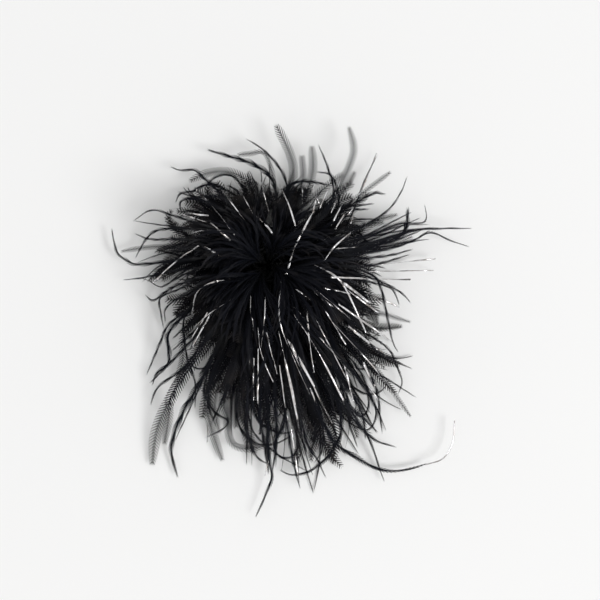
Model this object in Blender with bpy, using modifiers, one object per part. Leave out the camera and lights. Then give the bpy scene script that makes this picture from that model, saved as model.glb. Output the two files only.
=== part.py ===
"""Feather boa puff: a short length of two-ply boa cord, coiled into a cone on a round millinery base.

The cord carries a stitched heading, and the heading carries the feather: tufts of stripped ostrich
barbs in four rings, long stray barbs, and strands of metallic tinsel laid in between them.
Metres, +Z up. The origin is the middle of the felt backing's underside, +Z runs up through the coil,
and -Y is the way the long barbs are combed.
"""

import math

import bpy
from mathutils import Vector

# Base
FELT_RADIUS = 0.0235
FELT_THICKNESS = 0.0016
BASE_RADIUS = 0.0215
BASE_THICKNESS = 0.0022
EDGE_ROUNDING = 0.0004
GAP = 0.0003  # between faces that rest on each other

# Boa cord, coiled into a cone
PLY_RADIUS = 0.0011
PLY_TWIST_PITCH = 0.018
COIL_TURNS = 3.0
COIL_BOTTOM_RADIUS = 0.0148
COIL_TOP_RADIUS = 0.0062
COIL_TURN_GAP = 0.0016  # from one turn up to the next
POINTS_PER_TWIST = 8

# Heading: the stitched tape that the barbs are sewn into
HEADING_THICKNESS = 0.0005
HEADING_HEIGHT = 0.0030
HEADING_POINTS_PER_TURN = 22
HEADING_INSET = 0.04  # from each whipping, in turns of the coil

# Thread
THREAD_RADIUS = 0.00035
WHIPPING_TURNS = 4
WHIPPING_PITCH = 0.0012
POINTS_PER_WRAP = 10
WHIPPING_INSET = 0.025  # from the cord's ends, in turns of the coil
STITCH_COUNT = 4
STITCH_HOLE_CLEARANCE = 0.0003
STITCHED_SHARE = 0.85  # of the lowest turn

# Feather tufts. Reach is measured from the coil's axis, as seen from above.
REACH_SHORT = 0.069  # towards the sides
REACH_LOST_AT_TOP = 0.013  # the top is the shortest side
REACH_EXTRA = 0.056  # added where the barbs are combed long
COMB_AZIMUTH = math.radians(284)
COMB_SHARPNESS = 4
COMB_PULL = 0.24  # how far tips are drawn round towards the comb, in radians

CROWN_WIDTH = 0.014
CROWN_SPREAD = 0.42  # of the reach
PUFF_HEIGHT = 0.0705

# Strands that leave the tufts
STRAY_WIDTH = 0.0040
STRAY_THICKNESS = 0.0009
TINSEL_WIDTH = 0.0013
TINSEL_THICKNESS = 0.0003

# What follows from those sizes
PLY_OFFSET = PLY_RADIUS + GAP
CORD_RADIUS = PLY_OFFSET + PLY_RADIUS
COIL_PITCH = 2 * CORD_RADIUS + COIL_TURN_GAP
WHIPPING_RADIUS = CORD_RADIUS + GAP + THREAD_RADIUS
BASE_BOTTOM = FELT_THICKNESS + GAP
BASE_TOP = BASE_BOTTOM + BASE_THICKNESS
COIL_START_HEIGHT = BASE_TOP + GAP + WHIPPING_RADIUS + THREAD_RADIUS
COIL_TOP_HEIGHT = COIL_START_HEIGHT + COIL_TURNS * COIL_PITCH
HEADING_OFFSET = CORD_RADIUS + 2 * GAP + HEADING_THICKNESS / 2
STITCH_LEG = HEADING_OFFSET + HEADING_THICKNESS / 2 + 2 * GAP + THREAD_RADIUS
STITCH_RUN = BASE_BOTTOM + GAP + THREAD_RADIUS
ROOT_OFFSET = STITCH_LEG + THREAD_RADIUS + 2 * GAP


def empty_scene():
    for obj in list(bpy.data.objects):
        bpy.data.objects.remove(obj, do_unlink=True)


def new_collection(name):
    collection = bpy.data.collections.new(name)
    bpy.context.scene.collection.children.link(collection)
    return collection


def new_material(name, colour, roughness, metallic=0.0):
    material = bpy.data.materials.new(name)
    material.use_nodes = True
    shader = material.node_tree.nodes["Principled BSDF"]
    shader.inputs["Base Color"].default_value = (*colour, 1.0)
    shader.inputs["Roughness"].default_value = roughness
    shader.inputs["Metallic"].default_value = metallic
    return material


empty_scene()
PARTS = new_collection("feather_boa")
HELPERS = new_collection("cutters_and_profiles")
FELT = new_material("black_felt", (0.012, 0.012, 0.013), 0.95)
BUCKRAM = new_material("black_buckram", (0.02, 0.02, 0.02), 0.85)
COTTON = new_material("black_cotton", (0.015, 0.015, 0.016), 0.9)
FEATHER = new_material("black_ostrich", (0.008, 0.009, 0.012), 0.5)
SILVER = new_material("silver_tinsel", (0.85, 0.85, 0.86), 0.25, 1.0)


def polar(radius, azimuth, height):
    return Vector((radius * math.cos(azimuth), radius * math.sin(azimuth), height))


def keep_in(collection, obj, name):
    """Names a new primitive and moves it into its collection."""
    obj.name = name
    for other in list(obj.users_collection):
        other.objects.unlink(obj)
    collection.objects.link(obj)


def not_a_part(obj):
    obj.hide_render = True
    obj.display_type = "WIRE"


# Curves and profiles


def profile(name, half_width, half_height, sides):
    """A closed cross-section for a curve's bevel, wide along its X and high along its Y."""
    data = bpy.data.curves.new(name, "CURVE")
    data.dimensions = "2D"
    spline = data.splines.new("POLY")
    spline.points.add(sides - 1)
    for index, point in enumerate(spline.points):
        angle = -2 * math.pi * (index + 0.5) / sides
        point.co = (half_width * math.cos(angle), half_height * math.sin(angle), 0, 1)
    spline.use_cyclic_u = True
    obj = bpy.data.objects.new(name, data)
    HELPERS.objects.link(obj)
    not_a_part(obj)
    return obj


def curve_object(name, material):
    data = bpy.data.curves.new(name, "CURVE")
    data.dimensions = "3D"
    data.use_fill_caps = True
    data.twist_mode = "Z_UP"
    data.materials.append(material)
    obj = bpy.data.objects.new(name, data)
    PARTS.objects.link(obj)
    return obj


def wire(name, points, radius, material, closed=False):
    """A round thread or cord through the given points."""
    obj = curve_object(name, material)
    obj.data.bevel_depth = radius
    obj.data.bevel_resolution = 2
    obj.data.twist_mode = "MINIMUM"
    spline = obj.data.splines.new("POLY")
    spline.points.add(len(points) - 1)
    for place, point in zip(points, spline.points):
        point.co = (*place, 1)
    spline.use_cyclic_u = closed
    return obj


def swept(name, points, widths, section, material, resolution=5):
    """A bevelled curve through the points, with its section scaled at each of them."""
    obj = curve_object(name, material)
    obj.data.bevel_mode = "OBJECT"
    obj.data.bevel_object = section
    obj.data.resolution_u = resolution
    spline = obj.data.splines.new("BEZIER")
    spline.radius_interpolation = "CARDINAL"
    spline.bezier_points.add(len(points) - 1)
    for place, width, point in zip(points, widths, spline.bezier_points):
        point.co = place
        point.radius = width
        point.handle_left_type = "AUTO"
        point.handle_right_type = "AUTO"
    return obj


# Round base: felt backing, and the stiffened base that the coil is stitched to


def disc(name, radius, bottom, thickness, material):
    bpy.ops.mesh.primitive_cylinder_add(
        vertices=64, radius=radius, depth=thickness, location=(0, 0, bottom + thickness / 2)
    )
    obj = bpy.context.object
    keep_in(PARTS, obj, name)
    obj.data.materials.append(material)
    rounding = obj.modifiers.new("rounded_edge", "BEVEL")
    rounding.width = EDGE_ROUNDING
    rounding.segments = 1
    rounding.limit_method = "ANGLE"
    return obj


def coil_place(turns, outward=0.0, upward=0.0):
    """A point on the coiled cord, counted in turns from its lower end, moved out from the axis or up."""
    share = turns / COIL_TURNS
    radius = COIL_BOTTOM_RADIUS + (COIL_TOP_RADIUS - COIL_BOTTOM_RADIUS) * share
    height = COIL_START_HEIGHT + COIL_PITCH * turns
    return polar(radius + outward, 2 * math.pi * turns, height + upward)


def stitch_turns():
    """Where along the lowest turn each tacking stitch crosses the cord."""
    return [
        (index + 0.6) / STITCH_COUNT * STITCHED_SHARE for index in range(STITCH_COUNT)
    ]


def stitch_groove(index, turns):
    """Cutter for the underside groove that a stitch's return run lies in."""
    half_width = THREAD_RADIUS + STITCH_HOLE_CLEARANCE
    top = STITCH_RUN + half_width
    middle = coil_place(turns)
    bpy.ops.mesh.primitive_cube_add(
        size=1,
        location=(middle.x, middle.y, BASE_BOTTOM),
        rotation=(0, 0, 2 * math.pi * turns),
        scale=(2 * (STITCH_LEG + half_width), 2 * half_width, 2 * (top - BASE_BOTTOM)),
    )
    groove = bpy.context.object
    keep_in(HELPERS, groove, f"stitch_groove_{index + 1}")
    not_a_part(groove)
    return groove


def stitch_hole(index, turns, side):
    """Cutter for the hole that one leg of a stitch goes through."""
    place = coil_place(turns, outward=side * STITCH_LEG)
    bpy.ops.mesh.primitive_cylinder_add(
        vertices=10,
        radius=THREAD_RADIUS + STITCH_HOLE_CLEARANCE,
        depth=4 * BASE_THICKNESS,
        location=(place.x, place.y, BASE_TOP),
    )
    hole = bpy.context.object
    keep_in(HELPERS, hole, f"stitch_hole_{index + 1}_{'outer' if side > 0 else 'inner'}")
    not_a_part(hole)
    return hole


def stiffened_base():
    base = disc("stiffened_base", BASE_RADIUS, BASE_BOTTOM, BASE_THICKNESS, BUCKRAM)
    for index, turns in enumerate(stitch_turns()):
        cutters = [stitch_groove(index, turns)]
        cutters += [stitch_hole(index, turns, side) for side in (-1, 1)]
        for cutter in cutters:
            cut = base.modifiers.new(cutter.name, "BOOLEAN")
            cut.operation = "DIFFERENCE"
            cut.object = cutter


def tacking_stitch(index, turns):
    """A closed loop of thread: up through the base, over the cord, down, and back along the groove."""
    run = STITCH_RUN - coil_place(turns).z
    shoulder = HEADING_HEIGHT / 2 + GAP
    over = CORD_RADIUS + 2 * GAP + THREAD_RADIUS
    loop = [(-1, run), (1, run), (1, shoulder), (0.6, over), (-0.6, over), (-1, shoulder)]
    points = [coil_place(turns, STITCH_LEG * across, upward) for across, upward in loop]
    wire(f"tacking_stitch_{index + 1}", points, THREAD_RADIUS, COTTON, closed=True)


# Boa cord


def cord_ply(name, phase):
    """One ply: a helix wound about the coil's own path."""
    average = (COIL_BOTTOM_RADIUS + COIL_TOP_RADIUS) / 2
    length = 2 * math.pi * average * COIL_TURNS
    count = round(length / PLY_TWIST_PITCH * POINTS_PER_TWIST)
    points = []
    for step in range(count + 1):
        turns = COIL_TURNS * step / count
        twist = phase + 2 * math.pi * step / POINTS_PER_TWIST
        points.append(coil_place(turns, PLY_OFFSET * math.cos(twist), PLY_OFFSET * math.sin(twist)))
    wire(name, points, PLY_RADIUS, COTTON)


def whipping_share(first_turn):
    """How much of a turn of the coil a whipping covers there."""
    radius = coil_place(first_turn).xy.length
    return WHIPPING_TURNS * WHIPPING_PITCH / (2 * math.pi * radius)


def end_whipping(name, first_turn):
    """Thread wound round both plies, close to one end of the cord."""
    steps = WHIPPING_TURNS * POINTS_PER_WRAP
    share = whipping_share(first_turn)
    points = []
    for step in range(steps + 1):
        turns = first_turn + share * step / steps
        angle = 2 * math.pi * step / POINTS_PER_WRAP
        across = WHIPPING_RADIUS * math.cos(angle)
        points.append(coil_place(turns, across, WHIPPING_RADIUS * math.sin(angle)))
    wire(name, points, THREAD_RADIUS, COTTON)


def fringe_heading():
    """The sewn tape along the cord's outer side, between the two whippings."""
    first = WHIPPING_INSET + whipping_share(0) + HEADING_INSET
    last = COIL_TURNS - WHIPPING_INSET - whipping_share(COIL_TURNS) - HEADING_INSET
    steps = round((last - first) * HEADING_POINTS_PER_TURN)
    points = [
        coil_place(first + (last - first) * step / steps, HEADING_OFFSET)
        for step in range(steps + 1)
    ]
    obj = curve_object("fringe_heading", COTTON)
    obj.data.bevel_mode = "OBJECT"
    obj.data.bevel_object = profile(
        "heading_section", HEADING_THICKNESS / math.sqrt(2), HEADING_HEIGHT / math.sqrt(2), 4
    )
    spline = obj.data.splines.new("POLY")
    spline.points.add(len(points) - 1)
    for place, point in zip(points, spline.points):
        point.co = (*place, 1)


# Feather


def reach(azimuth):
    """How far the dense feather reaches that way: longer round the way it is combed."""
    towards = max(0.0, math.cos(azimuth - COMB_AZIMUTH))
    short = REACH_SHORT - REACH_LOST_AT_TOP * max(0.0, math.sin(azimuth))
    return short + REACH_EXTRA * towards**COMB_SHARPNESS


def combed(azimuth):
    """Where a barb that leaves the coil at this azimuth ends up, drawn round towards the comb."""
    return azimuth + COMB_PULL * math.sin(COMB_AZIMUTH - azimuth)


def root_place(up_coil):
    """Radius and height where a bunch is sewn to the heading, at a share of the way up the coil."""
    radius = COIL_BOTTOM_RADIUS + up_coil * (COIL_TOP_RADIUS - COIL_BOTTOM_RADIUS)
    height = COIL_START_HEIGHT + up_coil * (COIL_TOP_HEIGHT - COIL_START_HEIGHT)
    return radius + ROOT_OFFSET, height


def tuft_ring(name, count, first_azimuth, up_coil, belly, tip, section_size, fill):
    """A ring of tufts, each as wide at its belly as its share of the circle there, less a gap.

    belly and tip say where they are as shares of the reach, and how high: to the belly's underside,
    and to the tip's middle.
    """
    root_radius, root_height = root_place(up_coil)
    section = profile(name + "_section", section_size, section_size * belly["flatness"], 8)
    pitch = 2 * math.pi / count
    for index in range(count):
        azimuth = first_azimuth + pitch * index
        end = combed(azimuth)
        far = reach(end) * tip["share"]
        belly_radius = root_radius + (far - root_radius) * belly["share"]
        spacing = pitch * (1 - COMB_PULL * math.cos(COMB_AZIMUTH - azimuth) / 2)
        widths = [fill * pitch * root_radius, fill * spacing * belly_radius, tip["width"]]
        belly_height = belly["underside"] + belly["flatness"] * widths[1] / 2
        points = [
            polar(root_radius, azimuth, root_height),
            polar(belly_radius, (azimuth + end) / 2, belly_height),
            polar(far, end, tip["height"]),
        ]
        scales = [width / (2 * section_size) for width in widths]
        swept(f"{name}_{index + 1:02d}", points, scales, section, FEATHER)


def crown_tufts():
    """The few bunches that close the top, standing up from the coil's end."""
    section = profile("crown_section", CROWN_WIDTH / 2, CROWN_WIDTH * 0.375, 8)
    for index in range(4):
        azimuth = math.radians(60 + 90 * index)
        far = CROWN_SPREAD * reach(combed(azimuth))
        points = [
            polar(COIL_TOP_RADIUS, azimuth, COIL_TOP_HEIGHT + WHIPPING_RADIUS + 0.0025),
            polar((COIL_TOP_RADIUS + far) / 2, azimuth, 0.8 * PUFF_HEIGHT),
            polar(far, combed(azimuth), PUFF_HEIGHT),
        ]
        swept(f"crown_tuft_{index + 1:02d}", points, [0.48, 1.1, 0.2], section, FEATHER)


def feather_rings():
    tuft_ring(
        "outer_tuft", 12, math.radians(14), up_coil=0.05,
        belly={"share": 0.52, "underside": 0.0024, "flatness": 0.39},
        tip={"share": 1.16, "height": 0.0025, "width": 0.0030},
        section_size=0.010, fill=0.87,
    )
    tuft_ring(
        "middle_tuft", 10, math.radians(2), up_coil=0.42,
        belly={"share": 0.55, "underside": 0.305 * PUFF_HEIGHT, "flatness": 0.40},
        tip={"share": 0.92, "height": 0.26 * PUFF_HEIGHT, "width": 0.0028},
        section_size=0.010, fill=0.84,
    )
    tuft_ring(
        "inner_tuft", 8, math.radians(20), up_coil=0.77,
        belly={"share": 0.55, "underside": 0.62 * PUFF_HEIGHT, "flatness": 0.42},
        tip={"share": 0.70, "height": 0.53 * PUFF_HEIGHT, "width": 0.0026},
        section_size=0.009, fill=0.68,
    )
    crown_tufts()


# Strands outside the tufts. Past its root, each goes through places chosen by eye, given as azimuth
# in degrees, radius in mm, and height in hundredths of the puff's.


def strand(name, up_coil, places, scales, section, material):
    root_radius, root_height = root_place(up_coil)
    points = [polar(root_radius, math.radians(places[0][0]), root_height)]
    for azimuth, radius, height in places:
        points.append(polar(radius / 1000, math.radians(azimuth), height / 100 * PUFF_HEIGHT))
    swept(name, points, scales, section, material, resolution=4)


def stray_barbs():
    """Single long barbs that leave the mass: two hooked ones, three straight ones and one at the top."""
    section = profile("stray_section", STRAY_WIDTH / 2, STRAY_THICKNESS / 2, 6)
    runs = [
        [(6, 50, 23.5), (5, 90, 20.5), (10, 122, 13)],
        [(176, 48, 23.5), (181, 78, 19), (174, 92, 11), (167, 98, 7)],
        [(298, 60, 23), (297, 115, 19), (302, 146, 8.5), (312, 158, 6), (320, 146, 8.5)],
        [(269, 60, 23), (271, 125, 14), (267, 154, 7)],
        [(44, 46, 23.5), (52, 78, 18.5), (60, 93, 13)],
        [(229, 52, 23.5), (234, 95, 17), (240, 138, 7)],
    ]
    for index, places in enumerate(runs):
        scales = [0.5] + [1.0] * (len(places) - 1) + [0.3]
        strand(f"stray_barb_{index + 1}", 0.22, places, scales, section, FEATHER)


def tinsel_strips():
    """Narrow metallic strips: four under the middle tufts, and four between those and the inner ones."""
    section = profile("tinsel_section", TINSEL_WIDTH / math.sqrt(2), TINSEL_THICKNESS / math.sqrt(2), 4)
    low = [(46, 23.5), (66, 21.5)]
    low_long = [(48, 24.5), (84, 28.5), (114, 20)]
    high = [(36, 47), (52, 50), (66, 50)]
    strips = [
        (0.22, low_long, 284, 279),
        (0.22, low_long, 310, 304),
        (0.22, low + [(78, 18.5)], 108, 114),
        (0.22, low + [(88, 16)], 205, 212),
        (0.57, high + [(92, 42)], 322, 316),
        (0.57, high + [(86, 48)], 252, 256),
        (0.57, high, 60, 52),
        (0.57, high, 150, 156),
    ]
    for index, (up_coil, run, first, last) in enumerate(strips):
        turn = (last - first) / (len(run) - 1)
        places = [(first + turn * step, *place) for step, place in enumerate(run)]
        scales = [1.0] * (len(run) + 1)
        strand(f"tinsel_strip_{index + 1}", up_coil, places, scales, section, SILVER)


disc("felt_backing", FELT_RADIUS, 0, FELT_THICKNESS, FELT)
stiffened_base()
for number, place in enumerate(stitch_turns()):
    tacking_stitch(number, place)
cord_ply("cord_ply_a", 0)
cord_ply("cord_ply_b", math.pi)
end_whipping("lower_end_whipping", WHIPPING_INSET)
end_whipping("upper_end_whipping", COIL_TURNS - WHIPPING_INSET - whipping_share(COIL_TURNS))
fringe_heading()
feather_rings()
stray_barbs()
tinsel_strips()
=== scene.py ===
import math

import bpy
import numpy as np
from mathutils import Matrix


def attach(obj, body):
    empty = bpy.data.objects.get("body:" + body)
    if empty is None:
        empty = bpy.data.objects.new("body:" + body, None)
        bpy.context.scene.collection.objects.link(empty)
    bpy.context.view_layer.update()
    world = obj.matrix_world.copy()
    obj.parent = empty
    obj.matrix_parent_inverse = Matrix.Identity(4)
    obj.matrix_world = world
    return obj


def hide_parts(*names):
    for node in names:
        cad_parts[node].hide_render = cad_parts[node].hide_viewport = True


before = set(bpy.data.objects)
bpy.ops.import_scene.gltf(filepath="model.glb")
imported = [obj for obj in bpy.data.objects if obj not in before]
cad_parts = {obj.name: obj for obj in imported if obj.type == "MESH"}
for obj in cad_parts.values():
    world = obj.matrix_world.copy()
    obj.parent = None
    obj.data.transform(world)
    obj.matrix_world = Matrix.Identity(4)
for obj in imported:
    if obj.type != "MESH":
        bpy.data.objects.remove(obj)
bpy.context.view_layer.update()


# View and light. The puff lies on a pale sheet and is seen from straight above, with a big soft
# light off to its right and even, weaker light from all sides. Overhead is darkest, so that only
# a strip that is tilted to the light shines.

VIEW_MIDDLE = (0.0192, -0.0216)
VIEW_WIDTH = 0.360
VIEW_LEVEL = 0.020  # the height at which the view is as wide as that
LENS = 85
SENSOR = 36

camera_data = bpy.data.cameras.new("view")
camera_data.lens = LENS
camera_data.sensor_width = SENSOR
camera = bpy.data.objects.new("view", camera_data)
camera.location = (*VIEW_MIDDLE, VIEW_LEVEL + VIEW_WIDTH * LENS / SENSOR)
bpy.context.scene.collection.objects.link(camera)
bpy.context.scene.camera = camera
bpy.context.scene.view_settings.view_transform = "Standard"


PUFF_MIDDLE = (0.0, -0.02, 0.03)
WINDOW = (5.6, -2.5, 5.2)
REFLECTOR = (-1.5, -1.9, 2.4)


def area_light(name, place, size, watts):
    """A round, soft light that faces the middle of the puff."""
    data = bpy.data.lights.new(name, "AREA")
    data.shape = "DISK"
    data.size = size
    data.energy = watts
    lamp = bpy.data.objects.new(name, data)
    lamp.location = place
    aim = np.array(PUFF_MIDDLE) - np.array(place)
    tilt = math.pi / 2 - math.atan2(-aim[2], math.hypot(aim[0], aim[1]))
    lamp.rotation_euler = (tilt, 0, math.atan2(aim[1], aim[0]) - math.pi / 2)
    bpy.context.scene.collection.objects.link(lamp)


area_light("window", WINDOW, size=3.4, watts=390.0)
area_light("reflector", REFLECTOR, size=1.2, watts=4.0)

SKY_LOW_HEIGHT = 0.35  # up to here, as the Z of a direction, the sky is brightest
SKY_LOW_STRENGTH = 0.89
SKY_OVERHEAD_STRENGTH = 0.335

world = bpy.data.worlds.new("studio")
bpy.context.scene.world = world
world.use_nodes = True
air = world.node_tree
sky_place = air.nodes.new("ShaderNodeTexCoord")
sky_height = air.nodes.new("ShaderNodeSeparateXYZ")
sky_ramp = air.nodes.new("ShaderNodeMapRange")
sky_ramp.inputs["From Min"].default_value = SKY_LOW_HEIGHT
sky_ramp.inputs["From Max"].default_value = 1.0
sky_ramp.inputs["To Min"].default_value = SKY_LOW_STRENGTH
sky_ramp.inputs["To Max"].default_value = SKY_OVERHEAD_STRENGTH
air.links.new(sky_place.outputs["Generated"], sky_height.inputs[0])
air.links.new(sky_height.outputs["Z"], sky_ramp.inputs["Value"])
air.links.new(sky_ramp.outputs["Result"], air.nodes["Background"].inputs["Strength"])
air.nodes["Background"].inputs["Color"].default_value = (1, 1, 1, 1)


def finish(name, colour, roughness, metallic=0.0, specular=0.5):
    """A Principled material, with the values that are the same all over."""
    material = bpy.data.materials.new(name)
    material.use_nodes = True
    shader = material.node_tree.nodes["Principled BSDF"]
    shader.inputs["Base Color"].default_value = (*colour, 1)
    shader.inputs["Roughness"].default_value = roughness
    shader.inputs["Metallic"].default_value = metallic
    shader.inputs["Specular IOR Level"].default_value = specular
    return material


SHEET_WIDTH = 6

bpy.ops.mesh.primitive_plane_add(size=SHEET_WIDTH, location=(0, 0, 0))
sheet = bpy.context.object
sheet.name = "sheet"
sheet.data.materials.append(finish("white_sheet", (0.92, 0.92, 0.915), 0.9, specular=0.0))


# Felt backing and stiffened base. Pressed black wool felt, and a woven cotton base stiffened with
# size and painted black. The felt is glued on, and the base takes the tacking stitches.


def fibre_group():
    """Short pressed or spun fibres: a tone and a height, from noise stretched along one way."""
    group = bpy.data.node_groups.new("fibres", "ShaderNodeTree")
    group.interface.new_socket("Vector", in_out="INPUT", socket_type="NodeSocketVector")
    group.interface.new_socket("Scale", in_out="INPUT", socket_type="NodeSocketFloat")
    group.interface.new_socket("Dark", in_out="INPUT", socket_type="NodeSocketColor")
    group.interface.new_socket("Light", in_out="INPUT", socket_type="NodeSocketColor")
    group.interface.new_socket("Color", in_out="OUTPUT", socket_type="NodeSocketColor")
    group.interface.new_socket("Height", in_out="OUTPUT", socket_type="NodeSocketFloat")
    given = group.nodes.new("NodeGroupInput")
    result = group.nodes.new("NodeGroupOutput")
    noise = group.nodes.new("ShaderNodeTexNoise")
    noise.inputs["Detail"].default_value = 4
    noise.inputs["Roughness"].default_value = 0.65
    tone = group.nodes.new("ShaderNodeMix")
    tone.data_type = "RGBA"
    group.links.new(given.outputs["Vector"], noise.inputs["Vector"])
    group.links.new(given.outputs["Scale"], noise.inputs["Scale"])
    group.links.new(noise.outputs["Fac"], tone.inputs["Factor"])
    group.links.new(given.outputs["Dark"], tone.inputs["A"])
    group.links.new(given.outputs["Light"], tone.inputs["B"])
    group.links.new(tone.outputs["Result"], result.inputs["Color"])
    group.links.new(noise.outputs["Fac"], result.inputs["Height"])
    return group


FIBRES = fibre_group()


def add_fibres(material, scale, dark, light, stretch=(1, 1, 1), depth=0.0002, strength=0.6):
    """Places the fibre group in a material, on Object coordinates, with its height as a bump."""
    tree = material.node_tree
    shader = tree.nodes["Principled BSDF"]
    place = tree.nodes.new("ShaderNodeTexCoord")
    mapping = tree.nodes.new("ShaderNodeMapping")
    mapping.inputs["Scale"].default_value = stretch
    fibres = tree.nodes.new("ShaderNodeGroup")
    fibres.node_tree = FIBRES
    fibres.inputs["Scale"].default_value = scale
    fibres.inputs["Dark"].default_value = (*dark, 1)
    fibres.inputs["Light"].default_value = (*light, 1)
    bump = tree.nodes.new("ShaderNodeBump")
    bump.inputs["Strength"].default_value = strength
    bump.inputs["Distance"].default_value = depth
    tree.links.new(place.outputs["Object"], mapping.inputs["Vector"])
    tree.links.new(mapping.outputs["Vector"], fibres.inputs["Vector"])
    tree.links.new(fibres.outputs["Color"], shader.inputs["Base Color"])
    tree.links.new(fibres.outputs["Height"], bump.inputs["Height"])
    tree.links.new(bump.outputs["Normal"], shader.inputs["Normal"])


felt = finish("black_felt", (0.012, 0.012, 0.013), 0.95, specular=0.1)
add_fibres(felt, 900, (0.006, 0.006, 0.007), (0.024, 0.024, 0.026), depth=0.0003)
buckram = finish("black_buckram", (0.02, 0.02, 0.02), 0.85, specular=0.2)
add_fibres(buckram, 500, (0.010, 0.010, 0.010), (0.032, 0.031, 0.030), stretch=(1, 4, 1))


SHARP_EDGE = math.radians(40)


def give(name, material):
    """Puts a finish on a CAD node and smooths its round faces."""
    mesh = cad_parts[name].data
    mesh.materials.clear()
    mesh.materials.append(material)
    mesh.polygons.foreach_set("use_smooth", np.ones(len(mesh.polygons), dtype=bool))
    mesh.set_sharp_from_angle(angle=SHARP_EDGE)


give("felt_backing", felt)
give("stiffened_base", buckram)


# Boa cord, heading, whippings and tacking stitches. Two plies of black cotton, the tape that the
# barbs are sewn into, and waxed thread. All of it lies under the feather.

cotton = finish("black_cotton", (0.015, 0.015, 0.016), 0.85, specular=0.2)
add_fibres(cotton, 1400, (0.007, 0.007, 0.008), (0.030, 0.030, 0.031), stretch=(1, 1, 3))
thread = finish("waxed_thread", (0.010, 0.010, 0.011), 0.5, specular=0.4)
add_fibres(thread, 2600, (0.006, 0.006, 0.007), (0.018, 0.018, 0.019), depth=0.0001)
for name in ("cord_ply_a", "cord_ply_b", "fringe_heading"):
    give(name, cotton)
for name in sorted(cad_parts):
    if name.endswith("whipping") or name.startswith("tacking"):
        give(name, thread)


# One ostrich barb. A thin shaft that tapers to its tip, with a row of barbules down each side.
# Stripped and dyed barbs are partly open, with soft barbules that stand out, and partly closed,
# with barbules that lie along the shaft. Shafts and vanes are modelled straight and then laid.

SHAFT_SIDES = 3
SHAFT_TAPER = 0.62  # how much thinner a shaft's tip is than its root
SHAFT_FLATNESS = 0.6  # a shaft's height as a share of its width
VANE_START = 0.06  # the share of a barb that is bare below its vane
VANE_LENGTH = 0.93  # the share of a barb that carries its vane
BLADE_BEND = 0.55  # how far out an open blade bends, as a share of its length
OPEN_SPACING = 0.00095  # from one open barbule to the next
FEWEST_OPEN, MOST_OPEN, OPEN_STEP = 40, 120, 8  # an open vane's blades, in steps of so many


def straight_shaft(steps):
    """A shaft one unit long up Z and one unit in radius, as its points and faces."""
    bpy.ops.object.select_all(action="DESELECT")
    bpy.ops.mesh.primitive_cylinder_add(
        vertices=SHAFT_SIDES, radius=1, depth=1, location=(0, 0, 0.5), end_fill_type="NOTHING"
    )
    bpy.ops.object.mode_set(mode="EDIT")
    bpy.ops.mesh.select_all(action="DESELECT")
    bpy.ops.object.mode_set(mode="OBJECT")
    tube = bpy.context.object
    for edge in tube.data.edges:
        first, second = (tube.data.vertices[i].co for i in edge.vertices)
        edge.select = abs(first.z - second.z) > 0.5
    bpy.ops.object.mode_set(mode="EDIT")
    bpy.ops.mesh.select_mode(type="EDGE")
    bpy.ops.mesh.subdivide_edgering(number_cuts=steps - 1)
    bpy.ops.object.mode_set(mode="OBJECT")
    return taken(tube)


def straight_vane(count, bent, end_width):
    """Both rows of barbules, as thin blades.

    Z is the place along the barb of a blade's foot. X is how far out along the blade a point is, signed
    by the side. Y runs across the blade, from -1 to 1 at its foot.
    """
    bpy.ops.object.select_all(action="DESELECT")
    bpy.ops.mesh.primitive_plane_add(size=1, location=(0.5, 0, 0))
    blade = bpy.context.object
    blade.data.transform(blade.matrix_world)
    blade.location = (0, 0, 0)
    for vertex in blade.data.vertices:
        vertex.co.y *= 2 * end_width if vertex.co.x > 0.9 else 2
    if bent:
        bpy.ops.object.mode_set(mode="EDIT")
        bpy.ops.mesh.select_all(action="SELECT")
        bpy.ops.mesh.bisect(plane_co=(BLADE_BEND, 0, 0), plane_no=(1, 0, 0))
        bpy.ops.object.mode_set(mode="OBJECT")
    mirror = blade.modifiers.new("other_side", "MIRROR")
    mirror.use_mirror_merge = False
    bpy.ops.object.modifier_apply(modifier=mirror.name)
    row = blade.modifiers.new("row", "ARRAY")
    row.count = count
    row.use_relative_offset = False
    row.use_constant_offset = True
    row.constant_offset_displace = (0, 0, 1 / count)
    bpy.ops.object.modifier_apply(modifier=row.name)
    return taken(blade)


def taken(obj):
    """An object's points and triangles as arrays. The object itself is not kept."""
    mesh = obj.data
    mesh.calc_loop_triangles()
    points = np.empty(len(mesh.vertices) * 3)
    mesh.vertices.foreach_get("co", points)
    faces = np.empty(len(mesh.loop_triangles) * 3, dtype=np.int32)
    mesh.loop_triangles.foreach_get("vertices", faces)
    bpy.data.objects.remove(obj, do_unlink=True)
    return points.reshape(-1, 3), faces.reshape(-1, 3)


SHAFTS = {
    # the straight shaft, by its number of steps, and its radius
    "open": (straight_shaft(28), 0.00048),
    "closed": (straight_shaft(28), 0.00042),
    "under": (straight_shaft(12), 0.00060),
}
VANES = {
    "closed": straight_vane(60, bent=False, end_width=0.40),
    "under": straight_vane(18, bent=False, end_width=0.15),
}
OPEN_VANES = {}


def vane_of(kind, length):
    """The straight vane for a barb of this kind. A longer open barb has more blades."""
    if kind != "open":
        return VANES[kind]
    steps = round(length / OPEN_SPACING / OPEN_STEP)
    count = int(np.clip(OPEN_STEP * steps, FEWEST_OPEN, MOST_OPEN))
    if count not in OPEN_VANES:
        OPEN_VANES[count] = straight_vane(count, bent=True, end_width=0.55)
    return OPEN_VANES[count]


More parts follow.
